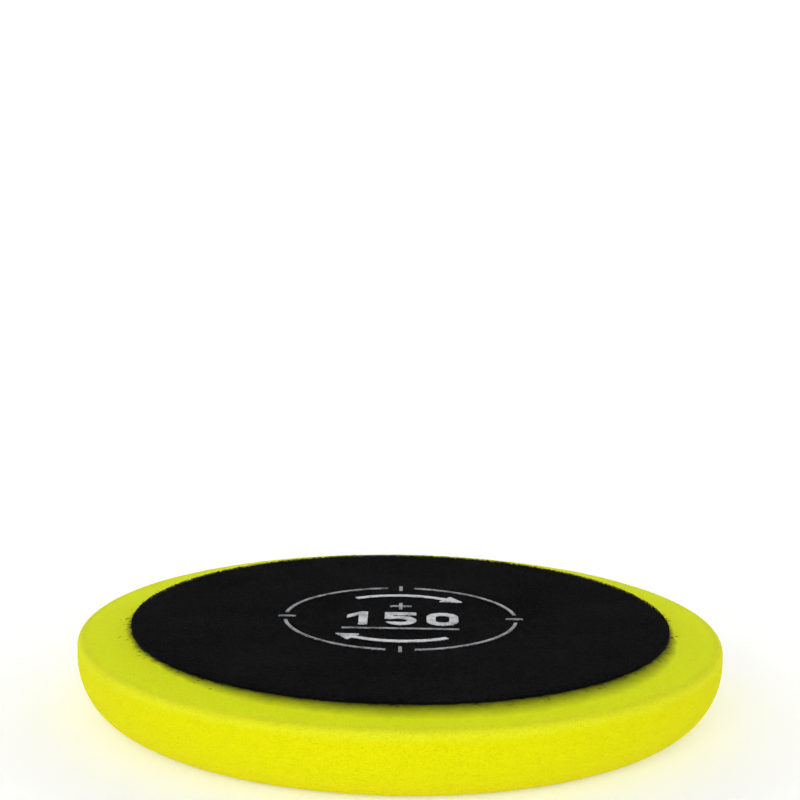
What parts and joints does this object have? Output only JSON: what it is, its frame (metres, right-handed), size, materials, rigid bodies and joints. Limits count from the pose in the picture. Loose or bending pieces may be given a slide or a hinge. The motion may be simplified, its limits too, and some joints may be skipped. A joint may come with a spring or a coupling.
{
  "type": "foam polishing pad",
  "caption": "Round flat foam polishing pad with an undercut edge and a loop-faced cloth backing that grips a hook-faced backing plate.",
  "frame": {"origin": "centre of the flat working face, the lowest point of the pad as it lies", "axes": "+Z along the pad's axis from the working face to the loop face, +Y to the top of the printed marks, +X to their right"},
  "size_m": [0.15, 0.15, 0.02],
  "materials": {
    "foam": "open-cell polyurethane foam, matte",
    "bond_film": "thin hot-melt adhesive film",
    "backing_cloth": "tight black knitted ground",
    "loop_pile": "brushed black nylon loops",
    "print_ink": "screen-printed grey ink"
  },
  "bodies": {
    "root": {"foam_body": "foam", "bond_film": "bond_film", "backing_cloth": "backing_cloth", "loop_pile": "loop_pile", "print_centring_ring": "print_ink", "print_quarter_ticks": "print_ink", "print_turning_arrows": "print_ink", "print_centre_cross": "print_ink", "print_size_figures": "print_ink", "print_rule": "print_ink"}
  },
  "joints": []
}
